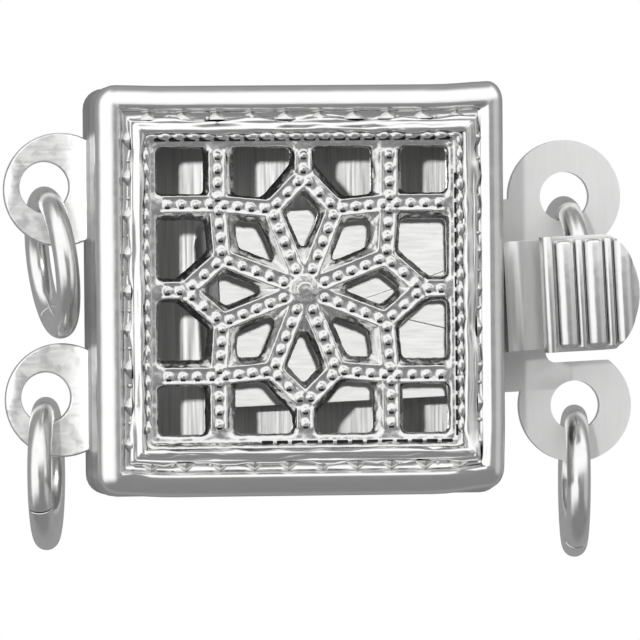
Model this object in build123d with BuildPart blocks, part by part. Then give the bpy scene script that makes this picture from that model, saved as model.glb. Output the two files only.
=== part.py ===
from math import cos, radians, sin, tan
from typing import NamedTuple
import os

from build123d import *

os.makedirs("parts", exist_ok=True)

# Two-strand box clasp with a pierced filigree cover, in millimetres.
# +X runs to the tongue's side, +Z up, and the open-work face looks along -Y.
# The origin is the centre of the flat back. Heights are counted from the back, towards the face.

# Rolled rim and cover
box_width = 10.0
box_height = 9.86
face_height = 3.95
corner_radius = 0.42
inner_corner_radius = 0.105
rim_width = 0.50
rim_roll_radius = 0.42
valley_width = 0.36
valley_depth = 0.33
ridge_width = 0.25
ridge_roundness = 0.09
margin_width = 0.37
panel_recess = 0.25
sheet_thickness = 0.40
skirt_depth = 1.48
skirt_thickness = 0.20
cover_gap = 0.02

# Pierced lattice
upright_rib_width = 0.74
level_rib_width = 0.58
petal_rib_width = 0.68
stem_width = 0.56
opening_corner_radius = 0.13
opening_flare = 0.13
opening_flare_angle = 18.0
boss_radius = 0.31
boss_bead_radius = 0.16

# Teeth pressed into the valley round the cover
tooth_pitch = 0.84
tooth_base = 0.53
tooth_height = 0.22
tooth_relief = 0.10

# Box under the cover
wall_inset = 0.09
wall_thickness = 0.40
floor_thickness = 0.35

# Strand eyelets
strand_pitch = 5.10
eyelet_level = 0.45
eyelet_thickness = 0.30
eyelet_hole_radius = 0.605
eyelet_lobe_radius = 1.38
fixed_hole_reach = 1.02
fixed_lobe_reach = 0.63
fixed_lobe_drop = 0.07

# Tongue that slides into the box, and the spring leaf folded back over it
tongue_width = 4.70
tongue_reach = 7.18
tongue_turn = 2.5
tongue_hole_reach = 2.01
tongue_hole_drop = 0.21
fold_radius = 0.50
nose_corner_radius = 0.85
notch_reach = 1.35
notch_width = 2.95
notch_drop = 0.22
notch_corner_radius = 0.25
lobe_root_radius = 0.30
slot_play = 0.30
slot_clearance = 0.09
leaf_slope = 5.5
leaf_gap = 0.02
shoulder_clearance = 0.05
point_length = 3.20
point_width = 1.86
point_relief = 0.14

# Neck and ribbed thumb piece
neck_width = 2.66
neck_clearance = 0.10
neck_level = 3.15
neck_bend_radius = 0.20
thumb_start = 0.95
thumb_width = 2.79
thumb_straight = 1.58
thumb_bulge = 0.66
thumb_thickness = 0.46
thumb_rib_count = 3
thumb_rib_pitch = 0.71
thumb_rib_radius = 0.23
thumb_rib_rise = 0.10
thumb_bar_radius = 0.16

# Jump rings
ring_wire_radius = 0.29
ring_mean_radius = 1.57
ring_seam_angle = 1.2
ring_hang_gap = 0.04

# Worked out from the sizes above
half_width = box_width / 2
half_height = box_height / 2
skirt_level = face_height - skirt_depth
valley_level = face_height - valley_depth
panel_level = face_height - panel_recess
sheet_level = panel_level - sheet_thickness
valley_inset = rim_width
ridge_inset = valley_inset + valley_width
panel_inset = ridge_inset + ridge_width
field_inset = panel_inset + margin_width
field_half_width = half_width - field_inset
field_half_height = half_height - field_inset
flare_height = opening_flare / tan(radians(opening_flare_angle))

shell_width = box_width - 2 * wall_inset
shell_height = box_height - 2 * wall_inset
seat_inset = skirt_thickness + cover_gap
cavity_inset = wall_inset + wall_thickness
wall_top = sheet_level - cover_gap
step_level = skirt_level - cover_gap

slot_width = tongue_width + 2 * slot_play
tongue_drop = slot_play - slot_clearance
nose_s = -tongue_reach
fold_s = nose_s + fold_radius
fold_level = eyelet_level + fold_radius
fold_middle_radius = fold_radius - eyelet_thickness / 2
neck_s = wall_inset + neck_clearance + eyelet_thickness / 2
leaf_rise = tan(radians(leaf_slope))
leaf_start_level = fold_level + fold_middle_radius
neck_foot_level = leaf_start_level + (neck_s - fold_s) * leaf_rise
slot_top = neck_foot_level + eyelet_thickness / 2 + slot_clearance
shoulder_s = -wall_thickness - shoulder_clearance
thumb_end = thumb_start + thumb_straight + thumb_bulge
clear_above = face_height + box_height

# The tongue's own frame starts where it leaves the box: s runs outwards along it, t runs up across it.
tongue_along = Vector(cos(radians(tongue_turn)), 0, sin(radians(tongue_turn)))
tongue_across = Vector(-sin(radians(tongue_turn)), 0, cos(radians(tongue_turn)))
tongue_root = Vector(shell_width / 2, 0, -tongue_drop)
tongue_plan = Plane(origin=tongue_root, x_dir=tongue_along, z_dir=(0, -1, 0))
tongue_side = Plane(origin=tongue_root, x_dir=tongue_along, z_dir=-tongue_across)


def rounded_inset(inset, radius):
    """Draw the box outline moved inwards, with its corners rounded."""
    sketch_radius = max(radius, inner_corner_radius)
    return RectangleRounded(box_width - 2 * inset, box_height - 2 * inset, sketch_radius)


# Lattice nodes in the upper right quarter, as shares of half the pierced field.
grid_share = 0.575
tip_share = 0.825
shoulder_out_share = 0.550
shoulder_side_share = 0.228
lattice_nodes = {
    "centre": (0, 0),
    "crossing": (grid_share, grid_share),
    "upper_tip": (0, tip_share),
    "right_tip": (tip_share, 0),
    "upper_shoulder": (shoulder_side_share, shoulder_out_share),
    "right_shoulder": (shoulder_out_share, shoulder_side_share),
    "edge_over_tip": (0, 1),
    "edge_beside_tip": (1, 0),
    "edge_over_crossing": (grid_share, 1),
    "edge_beside_crossing": (1, grid_share),
    "edge_corner": (1, 1),
}

# Half the width of what lies on each side of an opening.
side_half_widths = {
    "upright": upright_rib_width / 2,
    "level": level_rib_width / 2,
    "petal": petal_rib_width / 2,
    "stem": stem_width / 2,
    "edge": 0,
}

# Openings of one quarter: the corners in order, and the kind of side that starts at each corner
quarter_openings = (
    {"corners": ("crossing", "edge_beside_crossing", "edge_corner", "edge_over_crossing"),
     "sides": ("level", "edge", "edge", "upright")},
    {"corners": ("upper_tip", "upper_shoulder", "crossing", "edge_over_crossing", "edge_over_tip"),
     "sides": ("petal", "level", "upright", "edge", "stem")},
    {"corners": ("right_tip", "edge_beside_tip", "edge_beside_crossing", "crossing", "right_shoulder"),
     "sides": ("stem", "edge", "level", "upright", "petal")},
    {"corners": ("centre", "right_shoulder", "crossing", "upper_shoulder"),
     "sides": ("petal", "upright", "level", "petal")},
)

# The four sides that carry teeth: length, distance from the middle, and turn about the middle
cover_sides = (
    {"length": box_width, "distance": half_height, "turn": 0},
    {"length": box_height, "distance": half_width, "turn": 90},
    {"length": box_width, "distance": half_height, "turn": 180},
    {"length": box_height, "distance": half_width, "turn": 270},
)


def lattice_point(name, side_x=1, side_z=1):
    """Place a lattice node in one of the four quarters."""
    share_x, share_z = lattice_nodes[name]
    return Vector(side_x * share_x * field_half_width, side_z * share_z * field_half_height)


def opening_corners(points, half_widths):
    """Move each side of a lattice cell inwards by half its rib and return the corners that result."""
    middle = sum(points, Vector(0, 0)) / len(points)
    sides = []
    for start, end, half in zip(points, points[1:] + points[:1], half_widths):
        along = (end - start).normalized()
        inwards = Vector(-along.Y, along.X)
        if inwards.dot(middle - start) < 0:
            inwards = -inwards
        sides.append((start + inwards * half, along))
    corners = []
    for (first, first_along), (second, second_along) in zip(sides[-1:] + sides[:-1], sides):
        turn = first_along.X * second_along.Y - first_along.Y * second_along.X
        step = second - first
        reach = (step.X * second_along.Y - step.Y * second_along.X) / turn
        meeting = first + first_along * reach
        corners.append((meeting.X, meeting.Y))
    return corners


openings = []
for side_x in (1, -1):
    for side_z in (1, -1):
        for cell in quarter_openings:
            cell_points = [lattice_point(name, side_x, side_z) for name in cell["corners"]]
            cell_half_widths = [side_half_widths[side] for side in cell["sides"]]
            openings.append(opening_corners(cell_points, cell_half_widths))
petal_half_widths = [side_half_widths["petal"]] * 4
for side in (1, -1):
    upright_petal = [
        lattice_point("centre"), lattice_point("upper_shoulder", 1, side),
        lattice_point("upper_tip", 1, side), lattice_point("upper_shoulder", -1, side)]
    level_petal = [
        lattice_point("centre"), lattice_point("right_shoulder", side, 1),
        lattice_point("right_tip", side, 1), lattice_point("right_shoulder", side, -1)]
    openings.append(opening_corners(upright_petal, petal_half_widths))
    openings.append(opening_corners(level_petal, petal_half_widths))
# Filigree cover: cap with a rolled rim, toothed valley, ridge and pierced lattice
with BuildPart() as filigree_cover:
    with BuildSketch(Plane.XZ.offset(skirt_level)):
        rounded_inset(0, corner_radius)
    extrude(amount=skirt_depth)
    fillet(filigree_cover.edges().group_by(Axis.Y)[0], radius=rim_roll_radius)
    with BuildSketch(Plane.XZ.offset(valley_level)):
        rounded_inset(valley_inset, corner_radius - valley_inset)
    extrude(amount=valley_depth, mode=Mode.SUBTRACT)
    with BuildSketch(Plane.XZ.offset(valley_level)):
        rounded_inset(ridge_inset, corner_radius - ridge_inset)
    extrude(amount=valley_depth)
    with BuildSketch(Plane.XZ.offset(panel_level)):
        rounded_inset(panel_inset, corner_radius - panel_inset)
    extrude(amount=panel_recess, mode=Mode.SUBTRACT)
    ridge_edges = filigree_cover.faces().filter_by(Axis.Y).sort_by(Axis.Y)[0].edges()
    fillet(ridge_edges, radius=ridge_roundness)
    with BuildSketch(Plane.XZ.offset(skirt_level)):
        rounded_inset(skirt_thickness, corner_radius - skirt_thickness)
    extrude(amount=sheet_level - skirt_level, mode=Mode.SUBTRACT)

    # Teeth stand along the foot of the ridge and point outwards.
    for side in cover_sides:
        tooth_run = side["length"] - 2 * ridge_inset - tooth_base
        tooth_count = max(2, round(tooth_run / tooth_pitch) + 1)
        along_side = (cos(radians(side["turn"])), 0, sin(radians(side["turn"])))
        tooth_plane = Plane(origin=(0, tooth_relief - valley_level, 0), x_dir=along_side, z_dir=(0, -1, 0))
        with BuildSketch(tooth_plane):
            with Locations((0, side["distance"] - ridge_inset - tooth_relief)):
                with GridLocations(tooth_run / (tooth_count - 1), 0, tooth_count, 1):
                    Polygon(
                        (-tooth_base / 2, 0), (tooth_base / 2, 0), (0, tooth_height + tooth_relief),
                        align=None)
        extrude(amount=2 * tooth_relief)

    # The openings widen towards the face, so that the ribs have sloping flanks.
    for corners in openings:
        with BuildSketch(Plane.XZ.offset(sheet_level)) as opening:
            Polygon(*corners, align=None)
            fillet(opening.vertices(), radius=opening_corner_radius)
        extrude(amount=sheet_thickness - flare_height, mode=Mode.SUBTRACT)
        with BuildSketch(Plane.XZ.offset(panel_level - flare_height)) as flare:
            Polygon(*corners, align=None)
            fillet(flare.vertices(), radius=opening_corner_radius)
        extrude(amount=flare_height, taper=-opening_flare_angle, mode=Mode.SUBTRACT)

    # Domed boss where the petals meet, with one bead on top
    with BuildSketch(Plane.XZ.offset(panel_level - sheet_thickness / 2)):
        Circle(boss_radius)
    extrude(amount=sheet_thickness / 2)
    with Locations((0, -panel_level, 0)):
        Sphere(boss_radius)
    with Locations((0, -panel_level - boss_radius, 0)):
        Sphere(boss_bead_radius)
filigree_cover.part.label = "filigree_cover"
export_step(filigree_cover.part, "parts/filigree_cover.step")

# Box shell: floor, four walls stepped in under the skirt, tongue slot, and two fixed strand eyelets
fixed_hole_x = -shell_width / 2 - fixed_hole_reach
fixed_lobe_x = -shell_width / 2 - fixed_lobe_reach
with BuildPart() as box_shell:
    with BuildSketch(Plane.XZ):
        rounded_inset(wall_inset, corner_radius - wall_inset)
    extrude(amount=step_level)
    with BuildSketch(Plane.XZ.offset(step_level)):
        rounded_inset(seat_inset, corner_radius - seat_inset)
    extrude(amount=wall_top - step_level)
    with BuildSketch(Plane.XZ.offset(eyelet_level)):
        for side in (1, -1):
            with Locations((fixed_lobe_x, side * strand_pitch / 2 - fixed_lobe_drop)):
                Circle(eyelet_lobe_radius)
    extrude(amount=eyelet_thickness)
    with BuildSketch(Plane.XZ.offset(floor_thickness)):
        rounded_inset(cavity_inset, corner_radius - cavity_inset)
    extrude(amount=wall_top, mode=Mode.SUBTRACT)
    with BuildSketch(Plane.XZ.offset(eyelet_level)):
        with Locations((fixed_hole_x, strand_pitch / 2), (fixed_hole_x, -strand_pitch / 2)):
            Circle(eyelet_hole_radius)
    extrude(amount=eyelet_thickness, mode=Mode.SUBTRACT)
    with BuildSketch(Plane.XZ.offset(floor_thickness)):
        with Locations((shell_width / 2 - wall_thickness / 2, 0)):
            Rectangle(2 * wall_thickness, slot_width)
    extrude(amount=slot_top - floor_thickness, mode=Mode.SUBTRACT)
box_shell.part.label = "box_shell"
export_step(box_shell.part, "parts/box_shell.step")


def nearest_corner(sketch, s, t):
    """Find the corner of a sketch that lies nearest to a point."""
    return sketch.vertices().sort_by_distance((s, t, 0))[0]


# Tongue plate: flat leaf with two strand eyelets outside the box and a rounded fold at its nose
tongue_hole_t = (strand_pitch / 2 - tongue_hole_drop, -strand_pitch / 2 - tongue_hole_drop)
with BuildPart() as tongue_plate:
    with BuildSketch(tongue_plan.offset(eyelet_level)) as plate_plan:
        with Locations((nose_s, 0)):
            Rectangle(tongue_reach + tongue_hole_reach, tongue_width, align=(Align.MIN, Align.CENTER))
        with Locations((tongue_hole_reach, tongue_hole_t[0]), (tongue_hole_reach, tongue_hole_t[1])):
            Circle(eyelet_lobe_radius)
        for side in (1, -1):
            root = nearest_corner(plate_plan, tongue_hole_reach - eyelet_lobe_radius, side * tongue_width / 2)
            fillet(root, radius=lobe_root_radius)
            nose_corner = nearest_corner(plate_plan, nose_s, side * tongue_width / 2)
            fillet(nose_corner, radius=nose_corner_radius)
        with Locations((notch_reach, -notch_drop)):
            Rectangle(
                2 * eyelet_lobe_radius + tongue_hole_reach, notch_width, align=(Align.MIN, Align.CENTER),
                mode=Mode.SUBTRACT)
        for side in (1, -1):
            notch_corner = nearest_corner(plate_plan, notch_reach, side * notch_width / 2 - notch_drop)
            fillet(notch_corner, radius=notch_corner_radius)
        with Locations((tongue_hole_reach, tongue_hole_t[0]), (tongue_hole_reach, tongue_hole_t[1])):
            Circle(eyelet_hole_radius, mode=Mode.SUBTRACT)
    extrude(amount=2 * fold_radius)
    with BuildSketch(tongue_side):
        with Locations((fold_s, fold_level)):
            Circle(fold_radius)
            Circle(fold_radius - eyelet_thickness, mode=Mode.SUBTRACT)
            Rectangle(2 * fold_radius, 2 * fold_radius, align=(Align.MIN, Align.CENTER), mode=Mode.SUBTRACT)
        with Locations((fold_s, eyelet_level)):
            Rectangle(clear_above, eyelet_thickness, align=(Align.MIN, Align.MIN))
    extrude(amount=clear_above, both=True, mode=Mode.INTERSECT)
tongue_plate.part.label = "tongue_plate"
export_step(tongue_plate.part, "parts/tongue_plate.step")

# Pointed end of the neck, lying on the spring leaf
point_start = shoulder_s - point_length
with BuildPart() as leaf_point:
    with BuildSketch(tongue_plan):
        Polygon((point_start, 0), (shoulder_s, -point_width / 2), (shoulder_s, point_width / 2), align=None)
    extrude(amount=clear_above)
    with BuildSketch(tongue_side):
        with BuildLine():
            leaf_top = leaf_start_level + eyelet_thickness / 2
            start_top = leaf_top + (point_start - fold_s) * leaf_rise
            end_top = leaf_top + (shoulder_s - fold_s) * leaf_rise
            Polyline(
                (point_start, start_top - point_relief), (shoulder_s, end_top - point_relief),
                (shoulder_s, end_top + point_relief), (point_start, start_top + point_relief), close=True)
        make_face()
    extrude(amount=clear_above, both=True, mode=Mode.INTERSECT)

# Spring leaf: wide leaf with catch shoulders, neck that steps up outside the box, and ribbed thumb piece
neck_middle = neck_level + eyelet_thickness / 2
thumb_top = neck_level + thumb_thickness
first_rib_s = thumb_start + 2 * thumb_bar_radius + thumb_rib_radius
with BuildPart() as spring_leaf:
    with BuildSketch(tongue_plan) as leaf_plan:
        with Locations((nose_s, 0)):
            Rectangle(shoulder_s - nose_s, tongue_width, align=(Align.MIN, Align.CENTER))
        for side in (1, -1):
            leaf_corner = nearest_corner(leaf_plan, nose_s, side * tongue_width / 2)
            fillet(leaf_corner, radius=nose_corner_radius)
        with Locations((shoulder_s, 0)):
            Rectangle(thumb_start - shoulder_s, neck_width, align=(Align.MIN, Align.CENTER))
        with BuildLine():
            thumb_corner_s = thumb_start + thumb_straight
            Polyline(
                (thumb_corner_s, thumb_width / 2), (thumb_start, thumb_width / 2),
                (thumb_start, -thumb_width / 2), (thumb_corner_s, -thumb_width / 2))
            ThreePointArc(
                (thumb_corner_s, -thumb_width / 2), (thumb_end, 0), (thumb_corner_s, thumb_width / 2))
        make_face()
    extrude(amount=clear_above)
    with BuildSketch(tongue_side):
        with BuildLine():
            FilletPolyline(
                (fold_s + leaf_gap, leaf_start_level + leaf_gap * leaf_rise), (neck_s, neck_foot_level),
                (neck_s, neck_middle), (thumb_start + thumb_bar_radius, neck_middle),
                radius=neck_bend_radius)
        trace(line_width=eyelet_thickness)
        with Locations((thumb_start, neck_level)):
            Rectangle(thumb_end - thumb_start, thumb_thickness, align=(Align.MIN, Align.MIN))
        with Locations((thumb_start + thumb_bar_radius, thumb_top)):
            Circle(thumb_bar_radius)
        for rib in range(thumb_rib_count):
            with Locations((first_rib_s + rib * thumb_rib_pitch, thumb_top + thumb_rib_rise - thumb_rib_radius)):
                Circle(thumb_rib_radius)
    extrude(amount=clear_above, both=True, mode=Mode.INTERSECT)
    add(leaf_point.part)
spring_leaf.part.label = "spring_leaf"
export_step(spring_leaf.part, "parts/spring_leaf.step")

# Middles of the eyelet holes
eyelet_middle = Vector(0, -eyelet_level - eyelet_thickness / 2, 0)
upper_left_hole = Vector(fixed_hole_x, 0, strand_pitch / 2) + eyelet_middle
lower_left_hole = Vector(fixed_hole_x, 0, -strand_pitch / 2) + eyelet_middle
tongue_holes_foot = tongue_root + tongue_along * tongue_hole_reach + eyelet_middle
upper_right_hole = tongue_holes_foot + tongue_across * tongue_hole_t[0]
lower_right_hole = tongue_holes_foot + tongue_across * tongue_hole_t[1]


class RingHang(NamedTuple):
    """How one jump ring hangs in its hole.

    The turn swings the ring's front to the right and the lean its lower end, both in degrees. The seam
    lies so many degrees round the wire from the top.
    """

    name: str
    hole: Vector
    turn: float
    lean: float
    seam: float


# Jump rings: each hangs from the lower edge of its eyelet hole.
ring_hangs = (
    RingHang("jump_ring_upper_left", upper_left_hole, turn=6.5, lean=7.0, seam=205.0),
    RingHang("jump_ring_lower_left", lower_left_hole, turn=-12.0, lean=0.0, seam=95.0),
    RingHang("jump_ring_upper_right", upper_right_hole, turn=4.0, lean=1.0, seam=25.0),
    RingHang("jump_ring_lower_right", lower_right_hole, turn=-5.0, lean=-0.5, seam=150.0),
)
wire_rise = Vector(0, 0, ring_hang_gap + ring_wire_radius - eyelet_hole_radius)
for ring in ring_hangs:
    ring_top = Vector(-sin(radians(ring.lean)), 0, cos(radians(ring.lean)))
    ring_front = Vector(sin(radians(ring.turn)), -cos(radians(ring.turn)), 0)
    ring_centre = ring.hole + wire_rise - ring_top * ring_mean_radius
    ring_normal = ring_top.cross(ring_front).normalized()
    ring_side = ring_normal.cross(ring_top)
    seam_out = ring_top * cos(radians(ring.seam)) + ring_side * sin(radians(ring.seam))
    section_plane = Plane(origin=ring_centre, x_dir=seam_out, z_dir=ring_normal.cross(seam_out))
    with BuildPart() as jump_ring:
        with BuildSketch(section_plane):
            with Locations((ring_mean_radius, 0)):
                Circle(ring_wire_radius)
        revolve(axis=Axis(ring_centre, ring_normal), revolution_arc=360 - ring_seam_angle)
    jump_ring.part.label = ring.name
    export_step(jump_ring.part, f"parts/{ring.name}.step")
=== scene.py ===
"""Looks of a two-strand filigree box clasp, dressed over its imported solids.

Each piece is made on a bench: it lies on its back, in millimetres, with x to the right, y up the face and z
towards the viewer. Then it is stood up in the row's frame, in metres, with its face towards -Y.
"""

import logging
import math
from contextlib import contextmanager
from dataclasses import dataclass, field
from enum import Enum
from typing import Callable, ClassVar, Iterator, Optional, Sequence

import bmesh
import bpy
from mathutils import Matrix, Vector


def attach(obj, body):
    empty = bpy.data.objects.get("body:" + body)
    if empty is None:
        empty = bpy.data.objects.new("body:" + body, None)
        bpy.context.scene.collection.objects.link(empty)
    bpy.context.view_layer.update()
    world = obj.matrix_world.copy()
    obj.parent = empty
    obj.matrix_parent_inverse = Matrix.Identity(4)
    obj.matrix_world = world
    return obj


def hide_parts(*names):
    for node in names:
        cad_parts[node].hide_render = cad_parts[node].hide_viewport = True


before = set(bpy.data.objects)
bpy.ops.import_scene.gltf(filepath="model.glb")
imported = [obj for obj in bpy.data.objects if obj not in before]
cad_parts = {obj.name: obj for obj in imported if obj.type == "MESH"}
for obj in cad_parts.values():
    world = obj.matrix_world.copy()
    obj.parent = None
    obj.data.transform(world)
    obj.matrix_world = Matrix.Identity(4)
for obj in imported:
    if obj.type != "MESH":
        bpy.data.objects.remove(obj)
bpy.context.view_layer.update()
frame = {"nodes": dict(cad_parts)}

log = logging.getLogger("clasp")

MM = 0.001
NEAR = 0.003
QUARTER = math.radians(90)

Colour = tuple[float, float, float]
Span = tuple[float, float]
Profile = tuple[Span, ...]
Socket = bpy.types.NodeSocket
Tint = Socket | Sequence[float]


class Cut(Enum):
    """How one shape works on another."""

    JOIN = "UNION"
    REMOVE = "DIFFERENCE"
    KEEP = "INTERSECT"


class Part(Enum):
    """What is picked in a mesh."""

    FACES = "faces"
    EDGES = "edges"
    VERTICES = "verts"


class Body(Enum):
    """The moving bodies of the clasp."""

    BOX = "box"
    TONGUE = "tongue"
    LEAF = "leaf"


class Slot(Enum):
    """The record's material slots."""

    BOX = "box_silver"
    COVER = "cover_silver"
    TONGUE = "tongue_silver"
    LEAF = "leaf_silver"
    RING = "ring_silver"


# Finishes


class NodeSheet:
    """The node tree of a material or a world, with short ways to add and join its nodes."""

    def __init__(self, owner: bpy.types.ID) -> None:
        """Start an empty node tree.

        Args:
            owner: the material or the world that it belongs to.
        """
        self.owner = owner
        owner.use_nodes = True
        self.tree = owner.node_tree
        self.tree.nodes.clear()

    def add(self, kind: str, inputs: Optional[dict] = None, **settings) -> bpy.types.Node:
        """Add a node.

        Args:
            kind: the node's type name without its ShaderNode prefix.
            inputs: socket name or number to a value, or to the output socket that feeds it.
            settings: the node's own properties.

        Returns:
            The new node.
        """
        node = self.tree.nodes.new("ShaderNode" + kind)
        for key, value in settings.items():
            setattr(node, key, value)
        for key, value in (inputs or {}).items():
            if isinstance(value, bpy.types.NodeSocket):
                self.tree.links.new(value, node.inputs[key])
            else:
                node.inputs[key].default_value = value
        return node

    def chart(self, value: Socket, span: Span, onto: Span = (0.0, 1.0), how: str = "LINEAR") -> Socket:
        """Give a value that goes over one span while another goes over its own.

        Args:
            value: the value that leads.
            span: where it starts and ends.
            onto: where the new value starts and ends.
            how: how it goes, straight or smoothly.

        Returns:
            The new value's socket.
        """
        chart = self.add("MapRange", {
            "Value": value, "From Min": span[0], "From Max": span[1], "To Min": onto[0], "To Max": onto[1]},
            interpolation_type=how)
        return chart.outputs["Result"]

    def noise(self, place: Socket, scale: float, detail: float) -> Socket:
        """Give a cloudy value."""
        return self.add("TexNoise", {"Vector": place, "Scale": scale, "Detail": detail}).outputs["Fac"]

    def mix(self, share: Socket, first: Tint, second: Tint) -> Socket:
        """Mix two colours by a share."""
        return self.add("Mix", {"Factor": share, "A": first, "B": second}, data_type="RGBA").outputs["Result"]

    def work(self, how: str, one: Socket, other: Socket) -> Socket:
        """Work out one value from two."""
        return self.add("Math", {0: one, 1: other}, operation=how).outputs[0]


def silver(level: float) -> Colour:
    """Give a white metal's colour: a grey with a trace less blue."""
    return (level, level, level - 0.005)


@dataclass(frozen=True)
class SilverFinish:
    """A finish of white metal.

    The grain is given in marks per millimetre along X, Y and Z, so brushing has one small number. Depths and
    reaches are in millimetres. The edge is how bright the metal stays at a grazing view.
    """

    name: str
    bright: Colour
    dull: Colour
    gloss: Span
    grain: tuple[float, float, float]
    grain_depth: float
    swell: float
    swell_depth: float
    # patina_and_shade darkens the colour in hollows found by ambient occlusion: partly the silver's patina,
    # partly painted shade.
    patina_and_shade: float = 0.10
    patina_and_shade_reach: float = 0.0
    smudge: float = 0.0
    edge: float = 1.0

    GRAIN_SPAN: ClassVar[Span] = (0.3, 0.7)
    SMUDGE_SPAN: ClassVar[Span] = (0.50, 0.66)
    SMUDGE_GREY: ClassVar[float] = 0.12
    HOLLOW_SPAN: ClassVar[Span] = (0.15, 0.75)

    def material(self) -> bpy.types.Material:
        """Build the finish's material, or find the one that was built before.

        Returns:
            The material.
        """
        known = bpy.data.materials.get(self.name)
        if known is not None:
            return known
        sheet = NodeSheet(bpy.data.materials.new(self.name))
        place = sheet.add("TexCoord").outputs["Object"]
        marks = sheet.add("Mapping", {"Vector": place, "Scale": [count / MM for count in self.grain]})
        grain = sheet.noise(marks.outputs["Vector"], 1.0, 3.0)
        swell = sheet.noise(place, self.swell / MM, 2.0)
        skin = sheet.mix(grain, (*self.dull, 1), (*self.bright, 1))
        if self.smudge > 0:
            patch = sheet.chart(swell, self.SMUDGE_SPAN, (0.0, self.smudge))
            skin = sheet.mix(sheet.work("MULTIPLY", patch, grain), skin, (*[self.SMUDGE_GREY] * 3, 1))
        # Darken the hollows by ambient occlusion: partly patina, partly painted shade.
        if self.patina_and_shade_reach > 0:
            hollow = sheet.add("AmbientOcclusion", {"Distance": self.patina_and_shade_reach * MM}, samples=8)
            open_share = sheet.chart(hollow.outputs["AO"], self.HOLLOW_SPAN)
            skin = sheet.mix(open_share, (*[self.patina_and_shade] * 3, 1), skin)
        fine = sheet.add("Bump", {"Height": grain, "Strength": 1.0, "Distance": self.grain_depth * MM})
        slow = sheet.add("Bump", {
            "Height": swell, "Strength": 1.0, "Distance": self.swell_depth * MM,
            "Normal": fine.outputs["Normal"]})
        metal = sheet.add("BsdfPrincipled", {
            "Base Color": skin, "Metallic": 1.0, "Roughness": sheet.chart(grain, self.GRAIN_SPAN, self.gloss),
            "Specular Tint": (*[self.edge] * 3, 1), "Normal": slow.outputs["Normal"]})
        sheet.add("OutputMaterial", {"Surface": metal.outputs["BSDF"]})
        return sheet.owner


POLISHED_CAST = SilverFinish(
    "polished_cast_silver", bright=silver(0.92), dull=silver(0.70), gloss=(0.18, 0.30),
    grain=(9, 9, 9), grain_depth=0.0016, swell=2.2, swell_depth=0.030, patina_and_shade=0.08,
    patina_and_shade_reach=0.16)
POLISHED_RIM = SilverFinish(
    "polished_rim_silver", bright=silver(0.95), dull=silver(0.86), gloss=(0.20, 0.27),
    grain=(1.6, 1.6, 5), grain_depth=0.0004, swell=0.9, swell_depth=0.022, patina_and_shade=0.08,
    patina_and_shade_reach=0.10, edge=0.65)
# Black chips of painted shade, laid in the hollows under the beads and beside the margin's cells.
PAINTED_SHADE_CHIP = SilverFinish(
    "painted_shade_chip_black", bright=(0.06, 0.06, 0.06), dull=(0.02, 0.02, 0.02), gloss=(0.35, 0.5),
    grain=(9, 9, 9), grain_depth=0.0010, swell=5.0, swell_depth=0.006)
# The box's inside: vertically brushed, and given a dark colour as painted shade, so only what the key softbox
# lights looks bright.
BRUSHED_SHADED_BACK = SilverFinish(
    "brushed_back_painted_shade_silver", bright=silver(0.62), dull=(0.18, 0.18, 0.178), gloss=(0.34, 0.46),
    grain=(16, 16, 0.5), grain_depth=0.0016, swell=1.2, swell_depth=0.003)
BRUSHED_LEVEL = SilverFinish(
    "brushed_leaf_silver", bright=silver(0.48), dull=(0.26, 0.26, 0.258), gloss=(0.54, 0.62),
    grain=(0.6, 16, 16), grain_depth=0.0014, swell=1.2, swell_depth=0.003)
SATIN_SHEET = SilverFinish(
    "satin_sheet_silver", bright=silver(0.96), dull=silver(0.88), gloss=(0.50, 0.58),
    grain=(14, 14, 1.2), grain_depth=0.0008, swell=1.5, swell_depth=0.004)
ROUGH_SHEET = SilverFinish(
    "worn_sheet_silver", bright=silver(0.97), dull=silver(0.70), gloss=(0.34, 0.50),
    grain=(1.4, 14, 14), grain_depth=0.0030, swell=2.6, swell_depth=0.006, smudge=0.6)
POLISHED_WIRE = SilverFinish(
    "polished_wire_silver", bright=silver(0.94), dull=silver(0.78), gloss=(0.16, 0.26),
    grain=(5, 5, 5), grain_depth=0.0010, swell=1.4, swell_depth=0.010)
# The box's outer walls and back: a greyer silver, dim at grazing views, as painted shade that damps their
# reflection of the eyelets.
DIMMED_BOX_OUTSIDE = SilverFinish(
    "box_outside_painted_shade_silver", bright=silver(0.70), dull=silver(0.60), gloss=(0.32, 0.40),
    grain=(5, 5, 1.2), grain_depth=0.0006, swell=0.8, swell_depth=0.006, edge=0.40)
SATIN_NECK = SilverFinish(
    "satin_neck_silver", bright=silver(0.90), dull=silver(0.80), gloss=(0.34, 0.42),
    grain=(14, 14, 1.2), grain_depth=0.0006, swell=1.5, swell_depth=0.002)
POLISHED_THUMB = SilverFinish(
    "polished_thumb_silver", bright=silver(0.94), dull=silver(0.84), gloss=(0.27, 0.33),
    grain=(5, 5, 2), grain_depth=0.0004, swell=1.8, swell_depth=0.022, patina_and_shade=0.14,
    patina_and_shade_reach=0.09)


# Bench


def clear_selection() -> None:
    """Deselect every object, the solids that the frame loaded too."""
    bpy.ops.object.select_all(action="DESELECT")


@dataclass(frozen=True)
class Loop:
    """A rounded rectangle round the middle of the bench, as one section of a frame."""

    half_width: float
    half_height: float
    level: float
    radius: float

    def corner_centre(self, side_x: int, side_y: int) -> Vector:
        """Give the centre of the rounding at one of its corners."""
        across, up = self.half_width - self.radius, self.half_height - self.radius
        return Vector((side_x * across, side_y * up, 0))


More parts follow.
